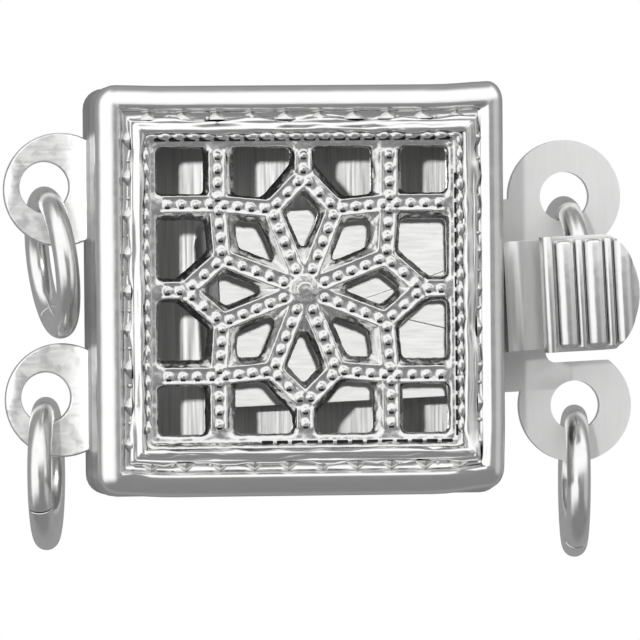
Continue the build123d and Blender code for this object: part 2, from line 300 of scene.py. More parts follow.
class Piece:
    """A piece that is being made on the bench."""

    def __init__(self, name: str, blank: bpy.types.Object) -> None:
        """Take a new object in hand.

        Args:
            name: the piece's name.
            blank: the object to start from.
        """
        self.obj = blank
        self.obj.name = name
        self.apply_place()

    @classmethod
    def start(cls, name: str, make: Callable[..., set], scale: Sequence[float] = (1, 1, 1),
              **settings) -> "Piece":
        """Start from a ready-made shape.

        Args:
            name: the piece's name.
            make: the operator that adds the shape.
            scale: how the shape is stretched.
            settings: what the operator is told.

        Returns:
            The new piece.
        """
        clear_selection()
        make(**settings)
        bpy.context.object.scale = scale
        return cls(name, bpy.context.object)

    @classmethod
    def block(cls, name: str, size: Sequence[float], middle: Sequence[float]) -> "Piece":
        """Start from a cube of a given size and middle."""
        return cls.start(name, bpy.ops.mesh.primitive_cube_add, size, size=1, location=middle)

    @classmethod
    def disc(cls, name: str, radius: float, low: float, high: float, middle: Sequence[float],
             facets: int = 96) -> "Piece":
        """Start from a cylinder that stands on the bench, between two levels."""
        return cls.start(
            name, bpy.ops.mesh.primitive_cylinder_add, vertices=facets, radius=radius, depth=high - low,
            location=(*middle, (low + high) / 2))

    @classmethod
    def rod(cls, name: str, radius: float, length: float, middle: Sequence[float],
            facets: int = 40) -> "Piece":
        """Start from a cylinder that lies along the bench's y."""
        return cls.start(
            name, bpy.ops.mesh.primitive_cylinder_add, vertices=facets, radius=radius, depth=length,
            location=middle, rotation=(QUARTER, 0, 0))

    @classmethod
    def ball(cls, name: str, radius: float, middle: Sequence[float], facets: int, rings: int) -> "Piece":
        """Start from a sphere."""
        return cls.start(
            name, bpy.ops.mesh.primitive_uv_sphere_add, segments=facets, ring_count=rings, radius=radius,
            location=middle)

    @classmethod
    def frame_of(cls, name: str, loops: Sequence[Loop], corner_steps: int, closed: bool = True) -> "Piece":
        """Draw a rounded rectangle out, section after section, into a shell.

        Args:
            name: the piece's name.
            loops: the sections in order.
            corner_steps: how many facets each rounded corner has.
            closed: True joins the last section to the first; False closes both ends with a face.

        Returns:
            The new piece.
        """
        first = loops[0]
        piece = cls.start(
            name, bpy.ops.mesh.primitive_plane_add, (2 * first.half_width, 2 * first.half_height, 1), size=1,
            location=(0, 0, first.level))
        with piece.editing("VERT"):
            bpy.ops.mesh.select_all(action="SELECT")
            bpy.ops.mesh.bevel(offset=first.radius, segments=corner_steps, affect="VERTICES")
            bpy.ops.mesh.select_all(action="SELECT")
            if closed:
                bpy.ops.mesh.delete(type="ONLY_FACE")
                bpy.ops.mesh.select_all(action="SELECT")
            for here, there in zip(loops, [*loops[1:], *([first] if closed else [])]):
                piece.draw_out(here, there)
            if closed:
                bpy.ops.mesh.select_all(action="SELECT")
                bpy.ops.mesh.remove_doubles(threshold=0.0005)
            else:
                bpy.ops.mesh.edge_face_add()
            piece.turn_outwards()
        return piece

    def draw_out(self, here: Loop, there: Loop) -> None:
        """Extrude the selected section and reshape its copy into the next one, in edit mode.

        Args:
            here: the section that is selected.
            there: the section that is wanted; it is selected in the end.
        """
        bpy.ops.mesh.select_mode(type="EDGE")
        bpy.ops.mesh.region_to_loop()
        bpy.ops.mesh.extrude_region_move(
            TRANSFORM_OT_translate={"value": (0, 0, there.level - here.level)})
        bpy.ops.mesh.select_mode(type="VERT")
        mesh = bmesh.from_edit_mesh(self.obj.data)
        ring = [vertex.index for vertex in mesh.verts if vertex.select]
        for side_x, side_y in ((1, 1), (-1, 1), (-1, -1), (1, -1)):
            mesh = bmesh.from_edit_mesh(self.obj.data)
            mesh.verts.ensure_lookup_table()
            bpy.ops.mesh.select_all(action="DESELECT")
            for index in ring:
                place = mesh.verts[index].co
                mesh.verts[index].select_set(place.x * side_x > 0 and place.y * side_y > 0)
            bmesh.update_edit_mesh(self.obj.data)
            centre, target = (loop.corner_centre(side_x, side_y) for loop in (here, there))
            grow = there.radius / here.radius
            bpy.ops.transform.resize(value=(grow, grow, 1), center_override=centre)
            bpy.ops.transform.translate(value=target - centre)
        mesh = bmesh.from_edit_mesh(self.obj.data)
        mesh.verts.ensure_lookup_table()
        for index in ring:
            mesh.verts[index].select_set(True)
        mesh.select_flush(True)
        bmesh.update_edit_mesh(self.obj.data)

    def activate(self) -> None:
        """Make this the one selected and active object."""
        clear_selection()
        self.obj.select_set(True)
        bpy.context.view_layer.objects.active = self.obj

    def apply_place(self) -> None:
        """Put the object's place, turn and scale into its mesh."""
        self.activate()
        bpy.ops.object.transform_apply(location=True, rotation=True, scale=True)

    @contextmanager
    def editing(self, mode: str = "FACE") -> Iterator[None]:
        """Hold the piece in edit mode with nothing selected.

        Args:
            mode: VERT, EDGE or FACE.

        Yields:
            Nothing.
        """
        self.activate()
        bpy.ops.object.mode_set(mode="EDIT")
        bpy.ops.mesh.select_mode(type=mode)
        bpy.ops.mesh.select_all(action="DESELECT")
        yield
        bpy.ops.object.mode_set(mode="OBJECT")

    def select(self, part: Part, wanted: Callable[..., bool]) -> None:
        """Select what is wanted, and nothing else, in edit mode.

        Args:
            part: faces, edges or vertices.
            wanted: tells it from a face's middle and normal, an edge's two ends or a vertex's place.
        """
        bpy.ops.mesh.select_all(action="DESELECT")
        mesh = bmesh.from_edit_mesh(self.obj.data)
        for element in getattr(mesh, part.value):
            if part is Part.FACES:
                marks = (element.calc_center_median(), element.normal)
            elif part is Part.EDGES:
                marks = tuple(vertex.co for vertex in element.verts)
            else:
                marks = (element.co,)
            if wanted(*marks):
                element.select_set(True)
        bmesh.update_edit_mesh(self.obj.data)

    def turn_outwards(self) -> None:
        """Turn every face outwards, in edit mode."""
        bpy.ops.mesh.select_all(action="SELECT")
        bpy.ops.mesh.normals_make_consistent(inside=False)

    def modify(self, kind: str, **settings) -> "Piece":
        """Add a modifier, set it and apply it.

        Args:
            kind: the modifier's type.
            settings: its properties.

        Returns:
            This piece.
        """
        modifier = self.obj.modifiers.new(kind.title(), kind)
        for key, value in settings.items():
            setattr(modifier, key, value)
        self.activate()
        bpy.ops.object.modifier_apply(modifier=modifier.name)
        return self

    def wave(self, name: str, size: float, strength: float, **settings) -> None:
        """Let the surface wave a little, by a cloudy pattern.

        Args:
            name: the pattern's name.
            size: how large its clouds are.
            strength: how far the highest stands over the lowest.
            settings: the displacement's other properties.
        """
        pattern = bpy.data.textures.new(name, "CLOUDS")
        pattern.noise_scale = size
        self.modify("DISPLACE", texture=pattern, strength=strength, mid_level=0.5, **settings)

    def fuse(self, voxel: float, smoothing: int) -> "Piece":
        """Melt everything in the mesh together and smooth it."""
        self.modify("REMESH", mode="VOXEL", voxel_size=voxel)
        return self.modify("SMOOTH", factor=0.5, iterations=smoothing)

    def combine(self, how: Cut, *others: "Piece") -> "Piece":
        """Let other pieces work on this one and use them up.

        Args:
            how: join, remove or keep what they share.
            others: the pieces that are used up.

        Returns:
            This piece.
        """
        for other in others:
            self.modify("BOOLEAN", operation=how.value, object=other.obj, solver="EXACT")
            bpy.data.objects.remove(other.obj)
        return self

    def gather(self, *others: "Piece") -> "Piece":
        """Take other pieces into this mesh as they are.

        Args:
            others: the pieces that are used up.

        Returns:
            This piece.
        """
        self.activate()
        for other in others:
            other.obj.select_set(True)
        bpy.ops.object.join()
        return self

    def soften(self, width: float, steps: int = 2, angle: float = 35.0) -> "Piece":
        """Round every edge that is sharper than an angle."""
        return self.modify(
            "BEVEL", width=width, segments=steps, limit_method="ANGLE", angle_limit=math.radians(angle))

    def round_uprights(self, corners: Sequence[Sequence[float]], radius: float, steps: int = 8) -> "Piece":
        """Round the upright edges that stand at some corners.

        Args:
            corners: x and y of each edge.
            radius: the rounding.
            steps: facets of each rounding.

        Returns:
            This piece.
        """
        places = [Vector((x, y, 0)) for x, y in corners]

        def stands_at_corner(a: Vector, b: Vector) -> bool:
            """Tell whether an edge stands upright at one of the corners."""
            return any((a.xy - p.xy).length < NEAR and (b.xy - p.xy).length < NEAR for p in places)

        with self.editing("EDGE"):
            self.select(Part.EDGES, stands_at_corner)
            bpy.ops.mesh.bevel(offset=radius, segments=steps, affect="EDGES")
        return self

    def place(self, matrix: Matrix) -> "Piece":
        """Move the piece on the bench.

        Args:
            matrix: the move.

        Returns:
            This piece.
        """
        self.obj.matrix_world = matrix
        self.apply_place()
        return self

    def repeat(self, name: str, places: Sequence[Matrix]) -> "Piece":
        """Copy this piece to each place, each copy with its own mesh, and use this one up.

        Args:
            name: the name of the joined copies.
            places: where each copy goes.

        Returns:
            One piece with all the copies in it.
        """
        copies = []
        for matrix in places:
            copy = self.obj.copy()
            copy.data = self.obj.data.copy()
            bpy.context.scene.collection.objects.link(copy)
            copy.matrix_world = matrix
            copies.append(copy)
        bpy.data.objects.remove(self.obj)
        clear_selection()
        for copy in copies:
            copy.select_set(True)
        bpy.context.view_layer.objects.active = copies[0]
        bpy.ops.object.join()
        return Piece(name, bpy.context.object)

    def finish(self, name: str, finish: SilverFinish, body: Body, slot: Slot, replaced: Sequence[str] = (),
               smooth_angle: float = 40.0, flat_sheet: bool = False) -> "Piece":
        """Stand the piece up in the row's frame, dress it and hang it on its body.

        Args:
            name: the piece's name.
            finish: what it is dressed with.
            body: the body that it moves with.
            slot: the record's slot of its material; not used.
            replaced: the solids that it stands for.
            smooth_angle: the angle under which edges look smooth.
            flat_sheet: True keeps large faces looking flat beside their rounded edges.

        Returns:
            This piece.
        """
        self.obj.name = name
        self.obj.rotation_euler = (QUARTER, 0, 0)
        self.obj.scale = (MM, MM, MM)
        self.apply_place()
        bpy.ops.object.shade_smooth_by_angle(angle=math.radians(smooth_angle))
        if flat_sheet:
            self.modify("WEIGHTED_NORMAL", mode="FACE_AREA", weight=50, keep_sharp=True)
        self.obj.data.materials.clear()
        self.obj.data.materials.append(finish.material())
        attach(self.obj, body.value)
        if replaced:
            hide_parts(*replaced)
        log.info("%s: %d faces, %s", self.obj.name, len(self.obj.data.polygons), finish.name)
        return self

    def dress_faces(self, finish: SilverFinish, wanted: Callable[[Vector, Vector], bool]) -> None:
        """Give some faces of a finished piece another finish.

        Args:
            finish: what they are dressed with.
            wanted: says from a face's middle and normal whether it is one of them.
        """
        self.obj.data.materials.append(finish.material())
        with self.editing():
            self.select(Part.FACES, wanted)
            self.obj.active_material_index = len(self.obj.data.materials) - 1
            bpy.ops.object.material_slot_assign()


@dataclass
class RoundedSquare:
    """What has a rounded square outline."""

    half_width: float
    half_height: float
    corner_radius: float
    crisp_radius: float

    def loop(self, inset: float, level: float) -> Loop:
        """Give the rounded rectangle that lies so far in from the outline."""
        radius = max(self.corner_radius - inset, self.crisp_radius)
        return Loop(self.half_width - inset, self.half_height - inset, level, radius)


# Cover


@dataclass
class RolledFrame(RoundedSquare):
    """The cover's rolled rim, its valley with teeth, its ridge and its skirt.

    The profile's offsets run inwards and up: from the rim's inner foot and the face, from there and the
    valley, from the ridge's foot and the valley, and from there and the face.
    """

    half_width: float = 5.0
    half_height: float = 4.93
    corner_radius: float = 0.50
    crisp_radius: float = 0.06
    corner_steps: int = 8
    face_level: float = 3.95
    skirt_level: float = 2.47
    skirt_thickness: float = 0.20
    underside_level: float = 3.30
    roll_width: float = 0.53
    roll_height: float = 0.40
    roll_steps: int = 10
    rim_inset: float = 0.63
    valley_level: float = 3.77
    ridge_inset: float = 0.80
    ridge_width: float = 0.35
    bulge_reach: float = 1.5
    right_crest_inset: float = 0.50
    right_press: float = -0.02
    right_roll_squeeze: float = 0.71
    right_slope_stretch: float = 1.70
    cuts: int = 28
    ridge_wobble: float = 0.34
    ridge_wobble_size: float = 0.55
    tooth_pitch: float = 0.86
    tooth_width: float = 0.58
    tooth_reach: float = 0.25
    tooth_height: float = 0.12
    nub_radius: float = 0.06

    CORNER_PULLS: ClassVar[dict[tuple[int, int], tuple[float, float, float]]] = {
        (1, 1): (0.0, 0.07, 0.02), (-1, 1): (0.0, 0.03, 0.02),
        (-1, -1): (0.0, 0.07, 0.0), (1, -1): (-0.04, 0.15, 0.0)}
    RIM_SLOPE: ClassVar[Profile] = ((-0.09, -0.015), (-0.065, -0.04), (-0.04, -0.10))
    VALLEY_OUTER: ClassVar[Profile] = ((-0.02, 0.08), (0.0, 0.03), (0.03, 0.0))
    VALLEY_INNER: ClassVar[Profile] = (
        (-0.04, 0.0), (-0.015, 0.015), (0.01, 0.045), (0.035, 0.075), (0.06, 0.085), (0.085, 0.08))
    RIDGE: ClassVar[Profile] = (
        (0.12, -0.095), (0.17, -0.055), (0.21, -0.025), (0.25, -0.01), (0.285, -0.02), (0.31, -0.045),
        (0.33, -0.08))

    def section(self) -> list[Loop]:
        """List the loops of the frame, from the skirt's foot over the roll to the ridge and back.

        Returns:
            The loops in order.
        """
        top, valley, rim, ridge = self.face_level, self.valley_level, self.rim_inset, self.ridge_inset
        roll_foot, inner = top - self.roll_height, ridge + self.ridge_width
        steps = [QUARTER * step / self.roll_steps for step in range(self.roll_steps + 1)]

        def along(profile: Profile, inset: float, level: float) -> list[Span]:
            """Place a stretch of the profile."""
            return [(inset + inwards, level + up) for inwards, up in profile]

        outline = [
            (0.0, self.skirt_level + 0.02),
            *((self.roll_width * (1 - math.cos(angle)), roll_foot + self.roll_height * math.sin(angle))
              for angle in steps),
            *along(self.RIM_SLOPE, rim, top), *along(self.VALLEY_OUTER, rim, valley),
            *along(self.VALLEY_INNER, ridge, valley), *along(self.RIDGE, ridge, top),
            (inner, top - 0.11), (inner, self.underside_level),
            (self.skirt_thickness, self.underside_level - 0.02),
            (self.skirt_thickness, self.skirt_level + 0.02), (self.skirt_thickness - 0.02, self.skirt_level),
            (0.02, self.skirt_level)]
        return [self.loop(inset, level) for inset, level in outline]

    def bulge_corners(self, rim: Piece) -> None:
        """Pull the rim's corners about a little, as the pressed cover has them.

        Args:
            rim: the frame.
        """
        with rim.editing("VERT"):
            for step in range(1, self.cuts):
                share = 0.96 * (2 * step / self.cuts - 1)
                for reach, normal in ((self.half_width, (1, 0, 0)), (self.half_height, (0, 1, 0))):
                    bpy.ops.mesh.select_all(action="SELECT")
                    bpy.ops.mesh.bisect(plane_co=[share * reach * axis for axis in normal], plane_no=normal)
            for (side_x, side_y), pull in self.CORNER_PULLS.items():
                corner = Vector((side_x * self.half_width, side_y * self.half_height))
                rim.select(Part.VERTICES, lambda place: (
                    (place.xy - corner).length < 0.75 * self.corner_radius
                    and place.z > self.valley_level - 0.3))
                bpy.ops.transform.translate(
                    value=pull, use_proportional_edit=True, proportional_edit_falloff="SMOOTH",
                    proportional_size=self.bulge_reach)
            crest = self.half_width - self.right_crest_inset
            valley = self.half_width - self.rim_inset - 0.04
            rim.select(Part.VERTICES, lambda place: place.x > crest - NEAR)
            bpy.ops.transform.resize(value=(self.right_roll_squeeze, 1, 1), center_override=(crest, 0, 0))
            bpy.ops.transform.translate(value=(-self.right_press, 0, 0))
            rim.select(Part.VERTICES, lambda place: valley < place.x <= crest - NEAR)
            bpy.ops.transform.resize(value=(self.right_slope_stretch, 1, 1), center_override=(crest, 0, 0))
            bpy.ops.transform.translate(value=(-self.right_press, 0, 0))

    def wave_ridge(self, rim: Piece) -> None:
        """Let the ridge run a little unevenly, as a casting does.

        Args:
            rim: the frame.
        """
        group = rim.obj.vertex_groups.new(name="ridge")
        outer, inner = self.ridge_inset - 0.02, self.ridge_inset + self.ridge_width - 0.01
        for vertex in rim.obj.data.vertices:
            inset = min(self.half_width - abs(vertex.co.x), self.half_height - abs(vertex.co.y))
            if outer < inset < inner and vertex.co.z > self.valley_level:
                group.add([vertex.index], 1.0, "REPLACE")
        rim.wave("ridge_wave", self.ridge_wobble_size, self.ridge_wobble, vertex_group="ridge")
        rim.obj.vertex_groups.clear()

    def around(self, inset: float, level: float, pitch: float, margin: float) -> list[Matrix]:
        """Space places round the frame, each with its y pointing outwards.

        Args:
            inset: how far in from the outline they lie.
            level: their level.
            pitch: about how far apart they lie.
            margin: how far from each corner the row begins.

        Returns:
            A place for each copy.
        """
        places = []
        halves = (self.half_width, self.half_height)
        for side in range(4):
            run = 2 * (halves[side % 2] - inset - margin)
            count = round(run / pitch) + 1
            for step in range(count):
                spot = (-run / 2 + step * run / (count - 1), halves[1 - side % 2] - inset, level)
                places.append(Matrix.Rotation(side * QUARTER, 4, "Z") @ Matrix.Translation(spot))
        return places

    def teeth(self) -> Piece:
        """Make the low pointed teeth that stand out from the foot of the ridge.

        Returns:
            All the teeth as one piece.
        """
        tooth = Piece.start(
            "tooth", bpy.ops.mesh.primitive_cone_add, (1, 2 * self.tooth_height / self.tooth_width, 1),
            vertices=4, radius1=self.tooth_width / 2, radius2=0, depth=self.tooth_reach,
            rotation=(-QUARTER, 0, 0)).soften(0.02, steps=2, angle=15)
        foot = self.ridge_inset + 0.02 - self.tooth_reach / 2
        return tooth.repeat(
            "cover_teeth", self.around(foot, self.valley_level, self.tooth_pitch, self.tooth_width))

    def nubs(self) -> Piece:
        """Make the small nubs that stand between the teeth.

        Returns:
            All the nubs as one piece.
        """
        nub = Piece.ball("nub", self.nub_radius, (0, 0, 0), facets=8, rings=6)
        rows = self.around(
            self.ridge_inset - 0.02, self.valley_level, self.tooth_pitch,
            self.tooth_width + self.tooth_pitch / 2)
        return nub.repeat("cover_nubs", rows)

    def build(self) -> None:
        """Make and dress the frame and its teeth."""
        rim = Piece.frame_of("cover_frame", self.section(), self.corner_steps)
        self.bulge_corners(rim)
        self.wave_ridge(rim)
        rim.finish("cover_frame", POLISHED_RIM, Body.BOX, Slot.COVER, ["filigree_cover"], smooth_angle=60)
        teeth = self.teeth().gather(self.nubs())
        teeth.finish("cover_teeth", POLISHED_CAST, Body.BOX, Slot.COVER, smooth_angle=50)


@dataclass(frozen=True)
class Rib:
    """A rib of the lattice between two points of the face."""

    start: Vector
    end: Vector
    width: float


@dataclass(frozen=True)
class NodeShares:
    """Where the lattice's nodes lie, as shares of the half field."""

    crossing: tuple[float, float]
    shoulder_out: float
    shoulder_side: float
    tip: tuple[float, float]


FOOT_NODES = NodeShares(crossing=(0.575, 0.575), shoulder_out=0.550, shoulder_side=0.228, tip=(0.815, 0.815))
CREST_NODES = NodeShares(crossing=(0.591, 0.598), shoulder_out=0.562, shoulder_side=0.222, tip=(0.813, 0.789))


@dataclass
class FiligreeLattice:
    """The pierced lattice: ribs with fine rails, the flower's petals, the boss and the rows of beads."""

    field_half_width: float = 3.52
    field_half_height: float = 3.45
    field_shift: tuple[float, float] = (0.02, 0.03)
    margin_inset: float = 1.12
    field_inset: float = 1.50
    upright_width: float = 0.78
    level_width: float = 0.64
    petal_width: float = 0.72
    stem_width: float = 0.62
    underside_level: float = 3.30
    crest_level: float = 3.64
    crest_width: float = 0.45
    crest_rounding: float = 0.05
    flank_foot_level: float = 3.40
    core_voxel: float = 0.05
    core_smoothing: int = 7
    voxel: float = 0.034
    smoothing: int = 2
    wobble: float = 0.035
    wobble_size: float = 0.22
    most_faces: int = 185_000
    boss_radius: float = 0.36
    boss_sink: float = 0.12
    boss_clearance: float = 0.06
    boss_ring_radius: float = 0.165
    boss_ring_wire: float = 0.042
    boss_ring_rise: float = 0.19
    bead_radius: float = 0.100
    bead_pitch: float = 0.345
    bead_sink: float = 0.02
    rail_radius: float = 0.040
    rail_setback: float = 0.045
    rail_gap: float = 0.12
    cell_inset: float = 1.205
    cell_length: float = 0.35
    cell_width: float = 0.22
    cell_level: float = 3.79
    cell_gap: float = 0.01
    cell_margin: float = 0.10
    lowest_cell: float = -3.6
    border_inset: float = 1.42
    # The pit numbers place the black chips of painted shade.
    pit_inset: float = 1.30
    pit_length: float = 0.27
    pit_width: float = 0.07
    pit_thickness: float = 0.03
    pit_rounding: float = 0.014
    pit_rise: float = 0.03
    pit_margin: float = 0.25
    pit_row: float = 3.4
    pit_column_top: float = 3.0
    pit_row_start: float = -1.2
    bead_pit_length: float = 0.12
    bead_pit_width: float = 0.06
    bead_pit_drop: float = 0.085
    rim: RolledFrame = field(default_factory=RolledFrame)

    def point(self, share_x: float, share_y: float) -> Vector:
        """Place a lattice node from its shares of the half field."""
        return Vector((
            share_x * self.field_half_width + self.field_shift[0],
            share_y * self.field_half_height + self.field_shift[1], 0))

    def ribs(self, nodes: NodeShares, edge_share: float) -> list[Rib]:
        """List every rib of the lattice.

        Args:
            nodes: where the nodes lie.
            edge_share: where the ribs end at the margin.

        Returns:
            The ribs of all four quarters.
        """
        (cross_x, cross_y), (tip_x, tip_y) = nodes.crossing, nodes.tip
        out, side = nodes.shoulder_out, nodes.shoulder_side
        middle = self.point(0, 0)
        ribs = []
        for sx in (1, -1):
            for sy in (1, -1):
                crossing = self.point(sx * cross_x, sy * cross_y)
                upper = self.point(sx * side, sy * out)
                outer = self.point(sx * out, sy * side)
                ribs += [
                    Rib(self.point(sx * cross_x, sy * edge_share), crossing, self.upright_width),
                    Rib(crossing, outer, self.upright_width),
                    Rib(self.point(sx * edge_share, sy * cross_y), crossing, self.level_width),
                    Rib(crossing, upper, self.level_width),
                    Rib(middle, upper, self.petal_width),
                    Rib(upper, self.point(0, sy * tip_y), self.petal_width),
                    Rib(middle, outer, self.petal_width),
                    Rib(outer, self.point(sx * tip_x, 0), self.petal_width)]
        for sign in (1, -1):
            ribs.append(Rib(self.point(0, sign * tip_y), self.point(0, sign * edge_share), self.stem_width))
            ribs.append(Rib(self.point(sign * tip_x, 0), self.point(sign * edge_share, 0), self.stem_width))
        return ribs

    @staticmethod
    def along(rib: Rib) -> Matrix:
        """Give the place at a rib's middle, with x along it.

        Args:
            rib: the rib.

        Returns:
            The move from the bench's middle.
        """
        run = rib.end - rib.start
        turn = Matrix.Rotation(math.atan2(run.y, run.x), 4, "Z")
        return Matrix.Translation((rib.start + rib.end) / 2) @ turn

    def bar(self, foot: Rib, crest: Rib) -> Piece:
        """Make one rib, whose foot and crest each follow their own line, so one flank is the wider.

        Args:
            foot: where its foot runs and how wide it is.
            crest: where its crest runs.

        Returns:
            The bar, in place.
        """
        overlap = 0.16
        low, high = self.flank_foot_level, self.crest_level
        length = (foot.end - foot.start).length + overlap
        bar = Piece.block("rib", (length, foot.width, high - low), (0, 0, (low + high) / 2))
        place = self.along(foot)
        to_bar = place.inverted().to_3x3()
        narrower = (foot.width - self.crest_width) / 2
        with bar.editing("VERT"):
            for end, shift in ((-1, crest.start - foot.start), (1, crest.end - foot.end)):
                for side in (1, -1):
                    bar.select(Part.VERTICES, lambda spot: (
                        spot.z > high - NEAR and spot.x * end > 0.5 * NEAR and spot.y * side > 0))
                    bpy.ops.transform.translate(value=to_bar @ shift - Vector((0, side * narrower, 0)))
        with bar.editing("FACE"):
            bar.select(Part.FACES, lambda spot, normal: normal.z < -0.9)
            bpy.ops.mesh.extrude_region_move(
                TRANSFORM_OT_translate={"value": (0, 0, self.underside_level - low)})
        with bar.editing("EDGE"):
            bar.select(Part.EDGES, lambda a, b: (
                a.z > high - NEAR and b.z > high - NEAR and abs(a.x - b.x) > 0.5 * abs(a.y - b.y)))
            bpy.ops.mesh.bevel(offset=self.crest_rounding, segments=3, affect="EDGES")
        return bar.place(place)

    def core(self) -> Piece:
        """Fuse the ribs, the margin and the boss into one soft core.

        Returns:
            The core.
        """
        rim, crest = self.rim, self.crest_level
        outline = [
            (self.margin_inset, self.underside_level), (self.margin_inset, crest + 0.20),
            (self.cell_inset, crest + 0.17), (self.cell_inset + 0.06, crest + 0.08),
            (self.cell_inset + 0.09, crest - 0.04), (self.border_inset - 0.06, crest - 0.04),
            (self.border_inset - 0.02, crest + 0.02), (self.border_inset + 0.02, crest),
            (self.field_inset - 0.01, crest - 0.08), (self.field_inset, crest - 0.16),
            (self.field_inset, self.underside_level)]
        core = Piece.frame_of("cover_lattice", [rim.loop(*spot) for spot in outline], corner_steps=3)
        feet = self.ribs(FOOT_NODES, edge_share=1.03)
        crests = self.ribs(CREST_NODES, edge_share=1.03)
        bars = [self.bar(foot, crest_line) for foot, crest_line in zip(feet, crests)]
        boss = Piece.ball(
            "boss", self.boss_radius, (*self.field_shift, crest - self.boss_sink), facets=32, rings=16)
        return core.gather(boss, *bars).fuse(self.core_voxel, self.core_smoothing)

    def lattice(self) -> Piece:
        """Cast the core with its beads, rails and cells in one, a little uneven as a casting is.

        Returns:
            The lattice.
        """
        lattice = self.core()
        beads = self.bead().repeat("beads", self.bead_places())
        lattice.gather(beads, self.rails(), self.cells(), self.boss_ring())
        lattice.fuse(self.voxel, self.smoothing)
        lattice.wave("cast_wobble", self.wobble_size, self.wobble)
        share = self.most_faces / (2 * len(lattice.obj.data.polygons))
        if share < 1:
            lattice.modify("DECIMATE", ratio=share)
        return lattice

    def bead(self) -> Piece:
        """Make one bead: a small dome that stands on a crest.

        Returns:
            The bead, at the bench's middle.
        """
        bead = Piece.ball("bead", self.bead_radius, (0, 0, 0), facets=12, rings=8)
        with bead.editing("FACE"):
            bpy.ops.mesh.select_all(action="SELECT")
            bpy.ops.mesh.bisect(
                plane_co=(0, 0, -self.bead_radius * 0.3), plane_no=(0, 0, 1), clear_inner=True, use_fill=True)
        return bead

    def bead_places(self) -> list[Matrix]:
        """Space the beads along the crests.

        Returns:
            A place for each bead.
        """
        places = []
        middle = self.point(0, 0)
        for rib in self.ribs(CREST_NODES, edge_share=0.985):
            count = max(1, round((rib.end - rib.start).length / self.bead_pitch))
            for step in range(count):
                spot = rib.start.lerp(rib.end, (step + 0.5) / count)
                if (spot - middle).length > self.boss_radius + self.boss_clearance:
                    level = self.crest_level - self.bead_sink
                    places.append(Matrix.Translation(spot + Vector((0, 0, level))))
        return places

    def rails(self) -> Piece:
        """Make the fine rails that run on either side of each row of beads.

        Returns:
            All the rails as one piece.
        """
        rail = Piece.start(
            "rail", bpy.ops.mesh.primitive_cylinder_add, vertices=8, radius=self.rail_radius, depth=1.0,
            rotation=(0, QUARTER, 0))
        places = []
        for rib in self.ribs(CREST_NODES, edge_share=1.0):
            length = (rib.end - rib.start).length - 2 * self.rail_gap
            aside = self.crest_width / 2 - self.rail_setback
            for side in (1, -1):
                places.append(
                    self.along(rib)
                    @ Matrix.Translation((0, side * aside, self.crest_level))
                    @ Matrix.Diagonal((length, 1, 1, 1)))
        return rail.repeat("rails", places)

    def boss_ring(self) -> Piece:
        """Make the ring on top of the boss."""
        return Piece.start(
            "boss_ring", bpy.ops.mesh.primitive_torus_add, major_segments=32, minor_segments=10,
            major_radius=self.boss_ring_radius, minor_radius=self.boss_ring_wire,
            location=(*self.field_shift, self.crest_level + self.boss_ring_rise))

    def cells(self) -> Piece:
        """Make the row of long beads between the ridge and the openings' border; the lower side has none.

        Returns:
            All the cells as one piece.
        """
        cell = self.bead()
        cell.place(Matrix.Diagonal((
            self.cell_length / 2 / self.bead_radius, self.cell_width / 2 / self.bead_radius, 1, 1)))
        pitch = self.cell_length + self.cell_gap
        places = self.rim.around(self.cell_inset, self.cell_level, pitch, self.cell_margin)
        return cell.repeat("cells", [place for place in places if place.translation.y > self.lowest_cell])

    def shade_chip(self, length: float, width: float) -> Piece:
        """Make one flat black chip of painted shade."""
        size = (length, width, self.pit_thickness)
        return Piece.block("shade_chip", size, (0, 0, 0)).soften(self.pit_rounding, steps=2)

    def shade_chips(self) -> Piece:
        """Make the black chips of painted shade: under the beads, and beside the cells at the top, right and
        bottom.

        Returns:
            All the chips as one piece.
        """
        def is_kept(spot: Vector) -> bool:
            """Tell the places along the top, the right and the bottom."""
            return (spot.y > self.pit_row or self.pit_row < spot.x and spot.y < self.pit_column_top
                    or spot.y < -self.pit_row and spot.x > self.pit_row_start)

        places = self.rim.around(
            self.pit_inset, self.crest_level + self.pit_rise + 0.01, self.cell_length + self.cell_gap,
            self.pit_margin)
        kept = [place for place in places if is_kept(place.translation)]
        shade_chips = self.shade_chip(self.pit_length, self.pit_width).repeat("cover_painted_shade_chips", kept)
        beneath = Matrix.Translation((0, -self.bead_pit_drop, self.bead_sink + self.pit_rise))
        small = self.shade_chip(self.bead_pit_length, self.bead_pit_width).repeat(
            "bead_painted_shade_chips", [beneath @ place for place in self.bead_places()])
        return shade_chips.gather(small)

    def build(self) -> None:
        """Make and dress the lattice and its chips of painted shade."""
        self.lattice().finish("cover_lattice", POLISHED_CAST, Body.BOX, Slot.COVER, smooth_angle=180)
        # Black chips of painted shade beside the cells and under the beads.
        self.shade_chips().finish("cover_painted_shade_chips", PAINTED_SHADE_CHIP, Body.BOX, Slot.COVER)


# Box


@dataclass(frozen=True)
class Eyelet:
    """The round end with a hole that takes a jump ring; there are two a side, one over the other."""

    low: float = 0.45
    high: float = 0.75
    lobe_radius: float = 1.38
    hole_radius: float = 0.605
    pitch: float = 5.10
    beyond: float = 0.1

    def lobe(self, x: float, y: float) -> Piece:
        """Make the round end."""
        return Piece.disc("lobe", self.lobe_radius, self.low, self.high, (x, y))

    def hole(self, x: float, y: float) -> Piece:
        """Make what the hole takes out."""
        return Piece.disc(
            "hole", self.hole_radius, self.low - self.beyond, self.high + self.beyond, (x, y), facets=64)


